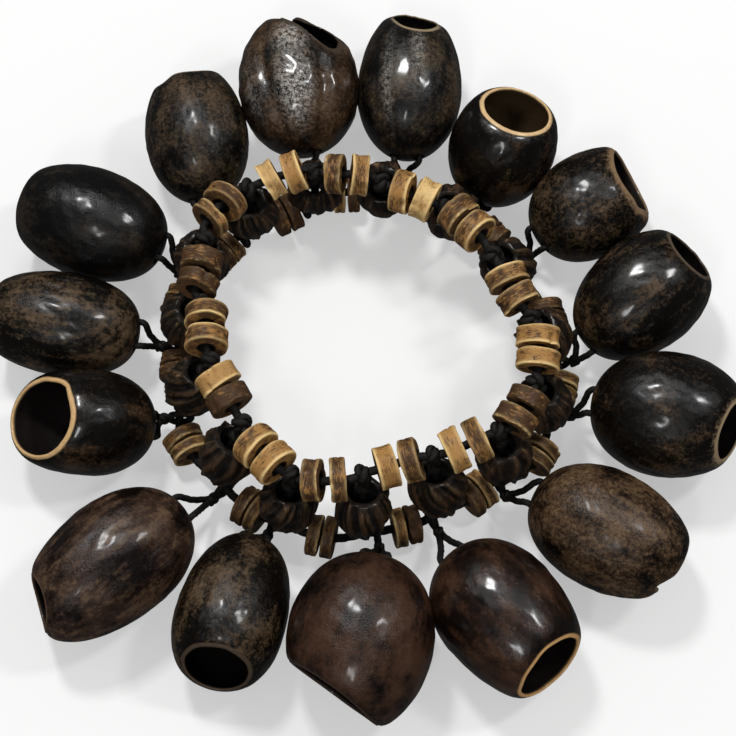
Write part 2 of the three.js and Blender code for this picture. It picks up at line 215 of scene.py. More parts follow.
# Points at a radius and an angle round the Y axis, and a height along it
def roundY(radius, angle, height):
    return np.stack(np.broadcast_arrays(radius * np.sin(angle), height, radius * np.cos(angle)), -1)


# Where a turned piece's fibres are read: round its axis at one scale, along it at another
def fibrePlaces(form, angle, along, size, random):
    turnwise, lengthwise = form["grainTurnwise"], form["grainLengthwise"]
    places = (np.cos(angle) * turnwise, np.sin(angle) * turnwise, along * lengthwise)
    return np.stack([overGrid(v, *size) for v in places], -1) + random.uniform(0, 40, 3)


# A name and its number, counted from one
def numbered(kind, index):
    return "%s_%02d" % (kind, index + 1)


# A curve through points: cubic pieces whose slope at each point is that of the line between its neighbours
def curveThrough(points, spacing, closed=False):
    points = np.asarray(points, float)
    if closed:
        padded = np.concatenate([points[-1:], points, points[:2]])
    else:
        padded = np.concatenate([[2 * points[0] - points[1]], points, [2 * points[-1] - points[-2]]])
    out = []
    for a, b, c, d in zip(padded[:-3], padded[1:-2], padded[2:-1], padded[3:]):
        size = np.linalg.norm(c - b)
        count = max(2, int(np.ceil(size / spacing)))
        t = np.linspace(0, 1, count, endpoint=False)[:, None]
        fromB = (2 * t**3 - 3 * t**2 + 1) * b + (t**3 - 2 * t**2 + t) * (unit(c - a) * size)
        toC = (3 * t**2 - 2 * t**3) * c + (t**3 - t**2) * (unit(d - b) * size)
        out.append(fromB + toC)
    out = np.concatenate(out)
    return out if closed else np.concatenate([out, points[-1:]])


# Twisted cord: points round it, how long one turn of the strands is, their number and relief, and the points
# along a knot
cordForm = dict(around=14, lay=6.0, strands=3, relief=0.16, knotSteps=72)


# A cord on a path: its radius follows a cosine round it, which winds on along the path, so strands show.
def cordSurface(path, diameter, closed=False):
    if closed:
        tangent = unit(np.roll(path, -1, 0) - np.roll(path, 1, 0))
    else:
        tangent = unit(np.gradient(path, axis=0))
    side = np.zeros_like(tangent)
    guess = np.cross(tangent[0], [0.3, 0.1, 0.95])
    for i in range(len(path)):
        guess = guess - tangent[i] * np.dot(guess, tangent[i])
        guess = guess / np.linalg.norm(guess)
        side[i] = guess
    other = np.cross(tangent, side)
    along = np.concatenate([[0], np.cumsum(np.linalg.norm(np.diff(path, axis=0), axis=1))])
    angle = circle(cordForm["around"])
    turn = 2 * np.pi * along / cordForm["lay"]
    strand = np.abs(np.cos(cordForm["strands"] / 2 * (angle[None] - turn[:, None])))
    radius = diameter / 2 * (1 - cordForm["relief"] * (1 - strand))
    across = side[:, None] * np.cos(angle)[None, :, None] + other[:, None] * np.sin(angle)[None, :, None]
    points = (path[:, None] + radius[..., None] * across).reshape(-1, 3)
    wound = strand.ravel()
    if not closed:
        points = np.concatenate([points, path[:1], path[-1:]])
        wound = np.concatenate([wound, [1, 1]])
    return points, skinFaces(len(path), cordForm["around"], closed), wound


# An overhand knot: a cord that goes three times round a small ring and twice round its middle
def knotPath(place, axis, diameter, cord):
    s = circle(cordForm["knotSteps"])
    size = (diameter - cord) / 2 / 2.6  # the knot's own half width is 1.6 and 1
    x = (1.6 + np.cos(3 * s)) * np.cos(2 * s)
    y = np.sin(3 * s) * 1.25
    z = (1.6 + np.cos(3 * s)) * np.sin(2 * s)
    return place + size * np.stack([x, y, z], -1) @ axesAlong(axis)


# Several surfaces in one mesh: each one's faces count on from the points before it.
def joined(surfaces):
    points, faces, wound, start = [], [], [], 0
    for p, f, w in surfaces:
        points.append(p)
        faces += [[i + start for i in face] for face in f]
        wound.append(w)
        start += len(p)
    return np.concatenate(points), faces, np.concatenate(wound)


# Shader arithmetic: a socket whose operators add Math nodes
class Wire:
    def __init__(self, graph, socket):
        self.graph, self.socket = graph, socket

    def maths(self, operation, first, second):
        return self.graph.node("ShaderNodeMath", {"operation": operation}, {0: first, 1: second})

    def __add__(self, other):
        return self.maths("ADD", self, other)

    def __sub__(self, other):
        return self.maths("SUBTRACT", self, other)

    def __rsub__(self, other):
        return self.maths("SUBTRACT", other, self)

    def __mul__(self, other):
        return self.maths("MULTIPLY", self, other)

    __radd__ = __add__
    __rmul__ = __mul__


# What a look may say of its shine, and the shader's sockets for it
shine = dict(coat="Coat Weight", coatRoughness="Coat Roughness", specular="Specular IOR Level")


# The nodes of a material or of the world
class Graph:
    def __init__(self, owner, shader):
        owner.use_nodes = True
        self.owner, self.tree = owner, owner.node_tree
        self.shader = self.tree.nodes[shader]

    # any node: its settings first, then the values or links of its sockets
    def node(self, kind, settings, values, output=0):
        made = self.tree.nodes.new(kind)
        for key, value in settings.items():
            setattr(made, key, value)
        for key, value in values.items():
            self.feed(made.inputs[key], value)
        return Wire(self, made.outputs[output])

    def feed(self, socket, value):
        if isinstance(value, Wire):
            self.tree.links.new(value.socket, socket)
        elif isinstance(value, (tuple, list)) and socket.type == "RGBA":
            socket.default_value = (*value, 1)
        else:
            socket.default_value = value

    def attribute(self, name, vector=False):
        return self.node("ShaderNodeAttribute", {"attribute_name": name}, {}, "Vector" if vector else "Fac")

    # object coordinates in millimetres
    def place(self):
        return self.scaled(self.node("ShaderNodeTexCoord", {}, {}, "Object"), (1 / metre,) * 3)

    def scaled(self, vector, scale):
        return self.node("ShaderNodeVectorMath", {"operation": "MULTIPLY"}, {0: vector, 1: scale})

    def noise(self, vector, scale, detail=3, roughness=0.5):
        values = {"Vector": vector, "Scale": scale, "Detail": detail, "Roughness": roughness}
        return self.node("ShaderNodeTexNoise", {}, values)

    # rises smoothly from 0 at low to 1 at high
    def rise(self, value, low, high):
        settings = {"interpolation_type": "SMOOTHSTEP", "clamp": True}
        return self.node("ShaderNodeMapRange", settings, {"Value": value, "From Min": low, "From Max": high})

    # the first colour where the share is 0, the second where it is 1 (a Mix node has them at 6, 7 and 2)
    def mix(self, share, first, second):
        return self.node("ShaderNodeMix", {"data_type": "RGBA"}, {0: share, 6: first, 7: second}, 2)

    # feeds the shader: colour, roughness, the bump of a height, and what the look says of its shine
    def finish(self, look, colour, roughness, height):
        bump = self.node("ShaderNodeBump", {}, {"Height": height, "Distance": look["bump"] * metre})
        values = {"Base Color": colour, "Roughness": roughness, "Normal": bump}
        values.update({socket: look[key] for key, socket in shine.items() if key in look})
        for key, value in values.items():
            self.feed(self.shader.inputs[key], value)
        return self.owner


# A new material's nodes
def materialGraph(name):
    return Graph(bpy.data.materials.new(name), "Principled BSDF")


# In each look a noise is its scale per millimetre, its detail and its roughness, and bump is in millimetres.
# Waxed black cord: darker between its strands, with fine fibres
cordLook = dict(
    colour=(0.008, 0.007, 0.006), worn=(0.024, 0.020, 0.017), roughness=0.5, specular=0.3,
    fibreNoise=(2.6, 4, 0.65), bump=0.25,
)


# The worn colour shows where fibres stand on a strand.
def cordMaterial():
    look = cordLook
    g = materialGraph("waxed_cord")
    fibre = g.noise(g.place(), *look["fibreNoise"])
    colour = g.mix(g.rise(fibre * g.attribute("strand"), 0.35, 0.75), look["colour"], look["worn"])
    return g.finish(look, colour, look["roughness"] + fibre * 0.2, fibre)


# Coconut discs: tan sides with brown fibres and dark specks, cream where the edge is worn; the dark colour is
# also painted shade in the bore
discLook = dict(
    side=(0.41, 0.210, 0.062), brown=(0.066, 0.031, 0.012), face=(0.16, 0.088, 0.038),
    cream=(0.88, 0.62, 0.27), dark=(0.015, 0.009, 0.006), roughness=0.5,
    coat=0.06, coatRoughness=0.3, specular=0.3,
    fibreNoise=(3.2, 5, 0.62), blotchNoise=(0.42, 3), speckNoise=(1.7, 3, 0.6), bump=0.22,
)


# Fibres turn the side brown, less on a light disc; then come the faces, cream discs, worn edges, specks and
# the painted shade in the bore.
def discMaterial():
    look = discLook
    g = materialGraph("coconut_disc")
    tone, edge, face = g.attribute("tone"), g.attribute("edge"), g.attribute("face")
    grain = g.noise(g.attribute("grain", True), *look["fibreNoise"])
    blotch = g.noise(g.place(), *look["blotchNoise"])
    speck = g.rise(g.noise(g.place(), *look["speckNoise"]), 0.58, 0.70)
    brownness = grain * 1.2 + (blotch - 0.5) * 0.8 - tone * 0.45
    colour = g.mix(g.rise(brownness, 0.15, 0.5), look["side"], look["brown"])
    colour = g.mix(face * (1 - tone) * g.rise(blotch, 0.3, 0.6), colour, look["face"])
    colour = g.mix(g.rise(tone, 0.9, 1.3) * g.rise(blotch + grain, 0.7, 1.1), colour, look["cream"])
    colour = g.mix(edge * g.rise(tone + blotch * 0.6 + grain, 0.95, 1.4), colour, look["cream"])
    colour = g.mix(speck * (1 - edge * 0.7) * 0.75, colour, look["dark"])
    # painted shade: the bore takes the specks' dark colour
    colour = g.mix(g.attribute("bore"), colour, look["dark"])
    return g.finish(look, colour, look["roughness"] + grain * 0.18, grain + blotch * 0.5)


# Barrel beads: dark brown, lighter on the ridges and round the worn top, with painted shade in the hole
barrelLook = dict(
    valley=(0.009, 0.0055, 0.0035), ridge=(0.075, 0.043, 0.021), worn=(0.30, 0.19, 0.09),
    red=(0.11, 0.045, 0.022), hole=(0.004, 0.003, 0.0025), roughness=0.4,
    coat=0.3, coatRoughness=0.25, specular=0.3,
    fibreNoise=(3.4, 5, 0.62), blotchNoise=(0.35, 4, 0.6), bump=0.7,
)


# Ridges and fibres lighten the valleys' colour, some fibres are red, and worn parts are tan. The hole colour
# is a painted shade in the mouth and the bore.
def barrelMaterial():
    look = barrelLook
    g = materialGraph("fluted_barrel")
    ridge, worn, hole = g.attribute("ridge"), g.attribute("worn"), g.attribute("hole")
    fibre = g.noise(g.attribute("grain", True), *look["fibreNoise"])
    blotch = g.noise(g.place(), *look["blotchNoise"])
    raised = ridge * 0.5 + fibre * 0.9 + blotch * 0.4
    reddish = fibre + (blotch - 0.5) * 1.4 + ridge * 0.2
    rubbed = worn + (blotch - 0.5) * 1.3 + (fibre - 0.5) * 1.1
    colour = g.mix(g.rise(raised, 0.6, 1.05), look["valley"], look["ridge"])
    colour = g.mix(g.rise(reddish, 0.68, 0.92), colour, look["red"])
    colour = g.mix(g.rise(rubbed, 0.45, 0.9), colour, look["worn"])
    # painted shade: the mouth and the bore turn near black
    colour = g.mix(hole, colour, look["hole"])
    return g.finish(look, colour, look["roughness"] + fibre * 0.2, fibre)


# Nut shells. What is not listed for a nut is as it is here.
shellLook = dict(
    dark=(0.0024, 0.0016, 0.0011), brown=(0.043, 0.0225, 0.0115), shade=0.0,  # the more shade, the more brown
    speckle=(0.215, 0.134, 0.068), amount=0.5, streaks=0.25,
    rim=(0.10, 0.066, 0.038), edgeWear=0.35, inside=(0.008, 0.005, 0.004),
    # Painted highlights: light grey patches of colour where the lacquer shines
    paintedHighlight=(), paintedHighlightTone=(0.46, 0.435, 0.40),  # angle, place from stem to tip, width, length, share
    roughness=0.27, coat=0.55, coatRoughness=0.16, specular=0.3,
    blunt=0.88, round=0.75, lip=1.7,  # fullness of the ends, rounding at the mouth, thickness of its lip
    lump=0.014, dents=0.0011, ridges=0.0, creases=(),  # shares of the width; a crease is angle, width, depth
    chips=(), chipEdge=2,  # a chip is angle, width, depth; the higher its edge, the steeper
    cloudNoise=(0.11, 4, 0.55), streakNoise=(5.5, 5, 0.6), fineNoise=(1.25, 5, 0.7), gritNoise=(3.4, 2, 0.6),
    streakStretch=(1, 1, 0.22), bump=0.22,
)
paleRim, orangeRim = (0.74, 0.50, 0.25), (0.60, 0.34, 0.13)
cool = dict(dark=(0.0026, 0.0023, 0.0022), brown=(0.027, 0.0200, 0.0140))
red = dict(dark=(0.0044, 0.0023, 0.0017), brown=(0.050, 0.0225, 0.0125))
nutLooks = [
    dict(
        cool, shade=0.01, amount=0.55, rim=(0.16, 0.12, 0.075), coat=0.35, blunt=0.96, round=0.2,
        chips=((-1.57, 1.0, 1.7),), chipEdge=8,
    ),
    dict(
        shade=0.05, rim=(0.07, 0.047, 0.028), edgeWear=0.7, coat=0.7, blunt=0.94,
        round=1.8, lip=3.6, dents=0.0022,
        # three patches of painted highlight, two on the middle lobe and one on the lobe beside it
        paintedHighlight=((-0.08, 1.25, 0.28, 0.5, 1.2), (-0.1, 2.05, 0.3, 0.2, 1.0), (-0.95, 1.3, 0.2, 0.4, 0.35)),
        creases=((-0.60, 0.15, 0.095), (0.42, 0.15, 0.085), (2.2, 0.3, 0.05), (-2.4, 0.3, 0.05)),
        chips=((-1.7, 0.9, 1.6), (0.7, 0.4, 2.4), (2.3, 0.8, -1.2)),
    ),
    dict(
        cool, shade=0.03, rim=(0.32, 0.24, 0.14), blunt=1.0, round=1.2, lump=0.006, chips=((0.0, 0.6, 0.5),),
        # two streaks of painted highlight
        paintedHighlight=((-0.45, 1.5, 0.1, 0.5, 0.5), (0.15, 1.9, 0.12, 0.4, 0.5)),
    ),
    dict(
        shade=-0.14, amount=0.25, rim=paleRim, inside=(0.060, 0.036, 0.016), roughness=0.22,
        blunt=1.0, lump=0.006,
    ),
    dict(
        brown=(0.060, 0.037, 0.022), shade=-0.14, amount=0.55, rim=(0.24, 0.15, 0.08), edgeWear=0.9,
        coat=0.3, chips=((0.1, 0.8, 1.2), (1.0, 0.2, 0.5)),
    ),
    dict(shade=-0.14, amount=0.4, streaks=0.7, rim=(0.10, 0.07, 0.045)),
    dict(shade=-0.10, amount=0.45, rim=(0.32, 0.23, 0.13), edgeWear=0.6),
    dict(shade=0.08, amount=0.75, rim=(0.15, 0.10, 0.06), coat=0.12, ridges=0.006, chips=((1.2, 0.3, 1.8),)),
    dict(red, shade=-0.01, amount=0.15, rim=orangeRim, roughness=0.2),
    dict(
        red, shade=0.06, amount=0.2, rim=(0.06, 0.032, 0.02), roughness=0.31, coat=0.3,
        chips=((0.3, 0.9, 0.9),),
    ),
    dict(brown=(0.055, 0.036, 0.021), shade=-0.08, rim=(0.07, 0.045, 0.027), coat=0.35, blunt=0.82),
    dict(
        dark=red["dark"], brown=(0.050, 0.027, 0.018), shade=0.04, amount=0.4, streaks=0.9,
        rim=(0.10, 0.055, 0.03), coat=0.2, ridges=0.016, chips=((0.1, 0.8, 1.3),),
    ),
    dict(
        shade=-0.08, amount=0.3, rim=(0.66, 0.42, 0.19), roughness=0.24,
        chips=((0.6, 0.3, 0.9), (1.1, 0.15, 0.4)),
    ),
    dict(
        brown=(0.050, 0.035, 0.021), shade=-0.08, streaks=0.5, rim=(0.10, 0.07, 0.04), coat=0.4,
        blunt=0.8, ridges=0.006,
    ),
    dict(cool, shade=-0.06, amount=0.15, rim=(0.10, 0.08, 0.055), roughness=0.3, coat=0.4, blunt=0.82),
]


# Lacquer: clouds and streaks turn the dark colour brown, fine noise adds speckles, light grey patches paint
# highlights on it, and the mouth has its own colours.
def shellMaterial(name, look):
    g = materialGraph(name)
    place = g.place()
    lip, inside, edge = g.attribute("lip"), g.attribute("inside"), g.attribute("edge")
    cloud = g.noise(place, *look["cloudNoise"])
    streak = g.noise(g.scaled(g.attribute("grain", True), look["streakStretch"]), *look["streakNoise"])
    fine = g.noise(place, *look["fineNoise"])
    grit = g.noise(place, *look["gritNoise"])
    brownness = cloud * 0.8 + streak * 0.45 + fine * 0.25 + look["shade"]
    mottle = fine * 0.55 + grit * 0.3 + cloud * 0.45 + (streak - 0.5) * look["streaks"]
    speckle = g.rise(mottle + look["amount"] * 0.16, 0.70, 0.98)
    # painted highlight: light grey patches, broken up by fine noise
    paintedHighlight = g.attribute("paintedHighlight") * g.rise(fine * 0.6 + grit * 0.4, 0.42, 0.62)
    wear = g.rise(edge * look["edgeWear"] + (fine - 0.5) * 0.9, 0.35, 0.85)
    darkRim = tuple(0.55 * c for c in look["rim"])
    colour = g.mix(g.rise(brownness, 0.64, 0.92), look["dark"], look["brown"])
    colour = g.mix(speckle * look["amount"], colour, look["speckle"])
    colour = g.mix(paintedHighlight, colour, look["paintedHighlightTone"])
    colour = g.mix(wear, colour, look["rim"])
    colour = g.mix(lip, colour, g.mix(g.rise(fine, 0.35, 0.7) * 0.45, look["rim"], darkRim))
    colour = g.mix(inside, colour, look["inside"])
    roughness = look["roughness"] + (fine - 0.5) * 0.3 + speckle * 0.12 + lip * 0.3 + inside * 0.35
    return g.finish(look, colour, roughness, streak * 0.5 + fine * 0.5 + grit * 0.25)


cordFinish, discFinish, barrelFinish = cordMaterial(), discMaterial(), barrelMaterial()
bandBody = "band"
print("materials made")

# Discs: how far their edges are rounded and their faces hollowed, how they wander, their chips and splits
discForm = dict(
    around=60, wear=0.35, dish=0.12, boreEdge=0.15, wander=0.038, hollow=(-0.15, 0.3), warp=0.09,
    chips=(1, 4), chipWidth=(0.1, 0.35), chipDepth=(0.3, 1.1), chipMiddle=0.4,
    split=(0, 0.24), splitPlace=(-0.3, 0.3), splitWander=0.1, splitWidth=0.2,
    edgeInset=0.12, edgeWidth=0.35, lessWorn=0.45, grainTurnwise=0.9, grainLengthwise=1.5, toneSpread=0.15,
)


# A disc's outline from the bore over both faces and back: quarter circles round its edges, and a sine hollows
# each face.
def discProfile(outer, bore, half):
    wear, inset = discForm["wear"], discForm["boreEdge"]
    turn = np.linspace(0, np.pi / 2, 9)
    corner = np.stack([np.sin(turn), -np.cos(turn)], -1)
    right = np.array([outer - wear, -half + wear]) + wear * corner
    left = right[::-1] * [1, -1]
    side = np.linspace(right[-1], left[0], 9)[1:-1]
    face = np.linspace(bore + inset, outer - wear, 7)
    dish = discForm["dish"] * np.sin(np.pi * (face - face[0]) / (face[-1] - face[0]))
    lowFace = np.stack([face, -half + dish], -1)[:-1]
    highFace = np.stack([face, half - dish], -1)[:-1][::-1]
    hole = np.array([[bore, half - inset], [bore - 0.05, 0], [bore, -half + inset]])
    return np.concatenate([lowFace, right, side, left, highFace, hole])


# One disc: its profile carried round, its radius with waves, chips that are bells, and a split in its side
def discSurface(middle, axis, disc, random, scale, tone):
    form = discForm
    outer, bore, half = disc["diameter"] / 2 * scale, disc["bore"] / 2, disc["thickness"] / 2
    profile = discProfile(outer, bore, half)
    radius, height = profile[:, 0][:, None], profile[:, 1][:, None]
    angle = circle(form["around"])[None]
    out = (radius - bore) / (outer - bore)
    radius = radius + out**2 * outer * form["wander"] * waves(random, angle, 2, 9)
    radius = radius - out**8 * random.uniform(*form["hollow"]) * (1 - (height / half) ** 2)
    for _ in range(int(random.integers(*form["chips"]))):
        away = wrapped(angle - random.uniform(0, 6.28))
        chip = bell(away / random.uniform(*form["chipWidth"])) * random.uniform(*form["chipDepth"])
        onSide = np.clip(form["chipMiddle"] + random.choice([-1, 1]) * height / half, 0, 1)
        radius = radius - out**4 * chip * onSide
    split = random.uniform(*form["splitPlace"]) * half + form["splitWander"] * waves(random, angle, 1, 4)
    radius = radius - out**8 * random.uniform(*form["split"]) * bell((height - split) / form["splitWidth"])
    height = height + out * form["warp"] * waves(random, angle, 1, 6) * np.sign(height)
    points = middle + roundY(radius, angle, height).reshape(-1, 3) @ axesAlong(axis)

    nearFace = bell((np.abs(height) - half + form["edgeInset"]) / form["edgeWidth"])
    edge = nearFace * np.clip((out - 0.75) * 5, 0, 1)
    edge = edge * np.where(height * random.choice([-1, 1]) > 0, 1, form["lessWorn"])
    isFace = (np.abs(profile[:, 1]) > half - 0.2)[:, None] & (profile[:, 0] < outer - 0.2)[:, None]
    # the bore, which the material paints dark as shade
    isBore = (profile[:, 0] < bore + 0.2)[:, None]
    size = (len(profile), form["around"])
    grain = fibrePlaces(form, angle, height, size, random)
    tone = tone + random.uniform(-form["toneSpread"], form["toneSpread"])
    attributes = dict(
        edge=overGrid(edge, *size), face=overGrid(isFace, *size), bore=overGrid(isBore, *size),
        grain=grain, tone=overGrid(tone, *size),
    )
    return points, skinFaces(*size, True), attributes


# Upper pairs as the photograph shows them, for the first disc and the second: how light it is, from 0 for
# brown to 1.3 for cream, its turn about the upright, its lean, and its shares of the diameter and thickness
discLooks = [
    ((0.95, 8, 13, 0.96, 0.9), (0.9, -2, 14, 1, 0.95)), ((0.25, -4, 8, 0.96, 0.9), (0.6, 0, -8, 1, 0.95)),
    ((0.6, 4, 7, 1, 1), (1.3, -4, -6, 1.02, 1.05)), ((0.45, 0, 4, 1, 1), (0.5, 3, 6, 0.98, 1)),
    ((0.5, 0, -8, 1, 0.95), (0.4, 6, -8, 1, 1)), ((0.85, 0, -8, 1, 1), (0.8, -3, -6, 1, 0.95)),
    ((0.3, 6, -6, 0.96, 0.85), (0.35, 0, -8, 1, 1)), ((0.4, 0, -12, 1, 0.95), (0.95, 0, -8, 1, 1)),
    ((0.45, -5, -12, 1, 0.95), (0.7, 0, -3, 1, 1.05)), ((0.35, 5, -2, 0.97, 0.85), (0.45, -3, -12, 1, 0.9)),
    ((0.85, 0, -8, 1, 1), (0.75, 0, -10, 1, 1)), ((0.2, 0, 4, 1, 1), (0.9, 5, 10, 1, 1.05)),
    ((0.5, 0, -5, 1, 1), (0.3, 0, -14, 1, 0.95)), ((0.25, -5, -4, 1, 0.85), (0.3, 0, -4, 1, 1)),
    ((0.45, -9, -6, 0.98, 0.62), (0.35, 7, -12, 1, 0.85)),
]
# The lower row's discs take tones from 0 to 0.45, darker than most discs of the upper row
lowerTone = (0.0, 0.45)
looseness = 1.5  # degrees by which a disc turns and leans at random


# Two discs for each pair of a row, half a disc and half the gap to each side of the pair's middle
def makeDiscs(row):
    disc = layout[row + "Disc"]
    for i, seat in enumerate(rows[row]):
        for j, side in enumerate((-1, 1)):
            random = np.random.default_rng(100 * i + 10 * j + (row == "lower"))
            plain = (random.uniform(*lowerTone), 0, 0, 1, 1)
            tone, turn, lean, wide, thick = discLooks[i][j] if row == "upper" else plain
            axis = turned(seat["axis"], up, turn + random.normal() * looseness)
            axis = turned(axis, unit(np.cross(axis, up)), lean + random.normal() * looseness)
            middle = seat["middle"] + seat["axis"] * (side * (disc["thickness"] + disc["gap"]) / 2)
            own = dict(disc, thickness=disc["thickness"] * thick)
            points, faces, attributes = discSurface(middle, axis, own, random, wide, tone)
            node = [numbered("disc_pair", i)] if row == "upper" else []
            name = numbered(row + "_disc", i) + "_" + "ab"[j]
            makePiece(name, points, faces, discFinish, bandBody, attributes, node)


for row in rows:
    makeDiscs(row)
print("discs made")

# Barrel beads: sizes as in the frame, with ridges that end in teeth
barrel = dict(
    top=8.8, waist=11.9, foot=8.8, mouth=5.6, bore=3.4, mouthDepth=2.2,
    ridges=8, ridgeDepth=0.8, sharpness=0.7, wander=1.1, twist=0.16, furrows=0.5, lumps=0.26,
    teeth=0.75, teethReach=0.22, footReach=0.25, grainTurnwise=5, grainLengthwise=1.5, around=112, steps=49,
)
ringMiddle = layout["cord"] / 2 + layout["clearance"] + layout["hangerCord"] / 2
ringRadius = ringMiddle / np.cos(np.pi / layout["ringSides"])
ringOutside = ringRadius + layout["hangerCord"] / 2


# A barrel's outline: chosen points, smoothed three times, and then the bore back to the top
def barrelProfile(top, foot):
    span = foot - top
    mouth, topEdge, waist, footEdge, bore = (barrel[k] / 2 for k in ("mouth", "top", "waist", "foot", "bore"))
    key = np.array([
        [mouth, top + 0.15], [mouth + 0.5, top], [topEdge - 0.3, top], [topEdge + 0.1, top + 0.4],
        [waist - 0.25, top + 0.25 * span], [waist, top + 0.48 * span], [waist - 0.15, top + 0.66 * span],
        [footEdge + 0.25, foot - 0.45], [footEdge - 0.3, foot],
    ])
    share = np.linspace(0, len(key) - 1, barrel["steps"])
    outside = np.stack([np.interp(share, range(len(key)), key[:, k]) for k in (0, 1)], -1)
    for _ in range(3):
        outside[1:-1] = (outside[:-2] + 2 * outside[1:-1] + outside[2:]) / 4
    seatDepth = top + barrel["mouthDepth"]
    inside = np.array([
        [bore + 0.5, foot], [bore, foot - 0.4], [bore, (foot + top) / 2], [bore, seatDepth + 0.4],
        [bore + 0.4, seatDepth], [mouth - 0.1, top + 1.0],
    ])
    return np.concatenate([outside, inside])


# One barrel: its profile carried round its upright. Ridges are one less a power of a sine that winds and
# wanders, and furrows and lumps are waves; near the top the ridges stand up as teeth.
def makeBarrel(index):
    random = np.random.default_rng(500 + index)
    upper, lower = stations["upper"][index]["point"], stations["lower"][index]["point"]
    axis, length = unit(lower - upper), np.linalg.norm(lower - upper)
    top = layout["upperDisc"]["diameter"] / 2 + layout["barrelDrop"]
    foot = length - ringOutside - layout["seat"]
    profile = barrelProfile(top, foot)
    angle = circle(barrel["around"])[None]
    radius, height = profile[:, 0][:, None], profile[:, 1][:, None]
    outness = np.clip((radius - barrel["mouth"] / 2 - 0.3) / 1.8, 0, 1)
    depth = height - top
    away = depth / (foot - top)

    count = barrel["ridges"] + int(random.integers(-1, 2))
    start = random.uniform(0, 6.28)
    twist = random.uniform(-barrel["twist"], barrel["twist"]) * depth
    drift = barrel["wander"] * waves(random, angle, 1, 4, 0.1 * depth)
    wave = angle * count + start + drift + twist * count / 2
    ridge = 1 - np.abs(np.sin(wave / 2)) ** barrel["sharpness"]
    furrow = waves(random, angle + twist, 9, 30, 0.1 * depth)
    uneven = barrel["ridgeDepth"] * (0.75 + 0.3 * waves(random, angle, 1, 5, 0.2 * depth))
    lumps = barrel["furrows"] * furrow + barrel["lumps"] * waves(random, angle, 2, 7, 0.1 * depth)
    radius = np.minimum(radius + 0.05, radius - outness * (uneven * (1 - ridge) - lumps))
    nearTop = bell(away / barrel["teethReach"]) * outness
    nearFoot = bell((1 - away) / barrel["footReach"]) * outness
    teeth = barrel["teeth"] * (ridge - 0.5) + 0.3 * waves(random, angle, 3, 9)
    height = height - nearTop * teeth * 0.7 + nearFoot * np.minimum(teeth, 0.1)
    points = upper + roundY(radius, angle, height).reshape(-1, 3) @ axesAlong(axis)

    size = (len(profile), barrel["around"])
    # Painted shade on the inside: 1 down the mouth and the bore, and 0.7 where the mouth begins
    hole = np.zeros(len(profile))
    hole[barrel["steps"]:] = 1
    hole[0] = 0.7  # the ring where the mouth begins
    attributes = dict(
        ridge=overGrid((ridge * 0.7 + furrow * 1.2) * outness, *size),
        worn=overGrid((nearTop * 0.75 + nearFoot * 0.55) * (0.4 + 0.6 * ridge), *size),
        hole=overGrid(hole[:, None], *size),
        grain=fibrePlaces(barrel, angle, away, size, random),
    )
    name, faces = numbered("barrel", index), skinFaces(*size, True)
    node = [] if index == layout["tiedStation"] else [numbered("barrel_bead", index)]
    makePiece(name, points, faces, barrelFinish, bandBody, attributes, node)


for index in range(len(pairs)):
    makeBarrel(index)
print("barrels made")

# Band cord: how closely its path is followed, how thick the cord of each knot is drawn, the room beside an
# upper knot, and the size of the knot in a barrel and how far down the upright it sits
bandCord = dict(
    spacing=0.7, uprightPoints=24, upperKnotCord=1.5, lowerKnotCord=1.3, knotRoom=0.8,
    barrelKnotCord=1.4, barrelKnot=3.6, barrelKnotPlace=0.2,
)


# The band's cord: a ring through each row, an upright down each barrel, and knots at its ends and in it
def makeBandCord():
    surfaces = []
    for name in rows:
        points = []
        for i, seat in enumerate(rows[name]):
            reach = seat["axis"] * seat["half"]
            nextStation = stations[name][(i + 1) % len(pairs)]
            points += [seat["middle"] - reach, seat["middle"] + reach, nextStation["point"]]
        surfaces.append(cordSurface(curveThrough(points, bandCord["spacing"], True), layout["cord"], True))
    for upper, lower in zip(stations["upper"], stations["lower"]):
        upright = np.linspace(upper["point"], lower["point"], bandCord["uprightPoints"])
        surfaces.append(cordSurface(upright, layout["cord"]))
        down = lower["point"] - upper["point"]
        inBarrel = upper["point"] + down * bandCord["barrelKnotPlace"]
        room = min(layout["upperKnot"], 2 * upper["halfGap"] - bandCord["knotRoom"])
        knots = (
            (upper["point"], upper["direction"], room, bandCord["upperKnotCord"]),
            (inBarrel, down, bandCord["barrelKnot"], bandCord["barrelKnotCord"]),
            (lower["point"], lower["direction"], layout["lowerKnot"], bandCord["lowerKnotCord"]),
        )
        for knot in knots:
            surfaces.append(cordSurface(knotPath(*knot), knot[-1], True))
    points, faces, wound = joined(surfaces)
    attributes = dict(strand=wound)
    makePiece("band_cord_twisted", points, faces, cordFinish, bandBody, attributes, ["band_cord"])


makeBandCord()
print("band cord made")

# Shells: points round and along them, the dips of the eyes, and the rounding of the inner and the outer edge
shellForm = dict(
    around=144, outerSteps=84, fineSteps=16, fineFrom=0.93, lipSteps=5, innerSteps=44, lipRise=0.22,
    eyeDip=1.35, eyeRadius=0.75, eyeSlope=0.35, innerRound=0.3, innerReach=0.9, outerReach=2.2,
    ripples=14, creaseLean=0.12, cutWander=0.12, halvings=36, lipFullness=0.6, edgeFade=1.6,
    grainLengthwise=4,
)


# The way a nut points and the way its mouth points: its station's radial, turned sideways and then up
def nutAxes(nut, station):
    heading = turned(station["radial"], up, -nut["yaw"])
    sideways = np.cross(heading, up)
    mouthHeading = turned(heading, up, -nut["mouthYaw"])
    axis = turned(heading, sideways, nut["pitch"])
    return axis, turned(mouthHeading, sideways, nut["pitch"] + nut["mouthPitch"])


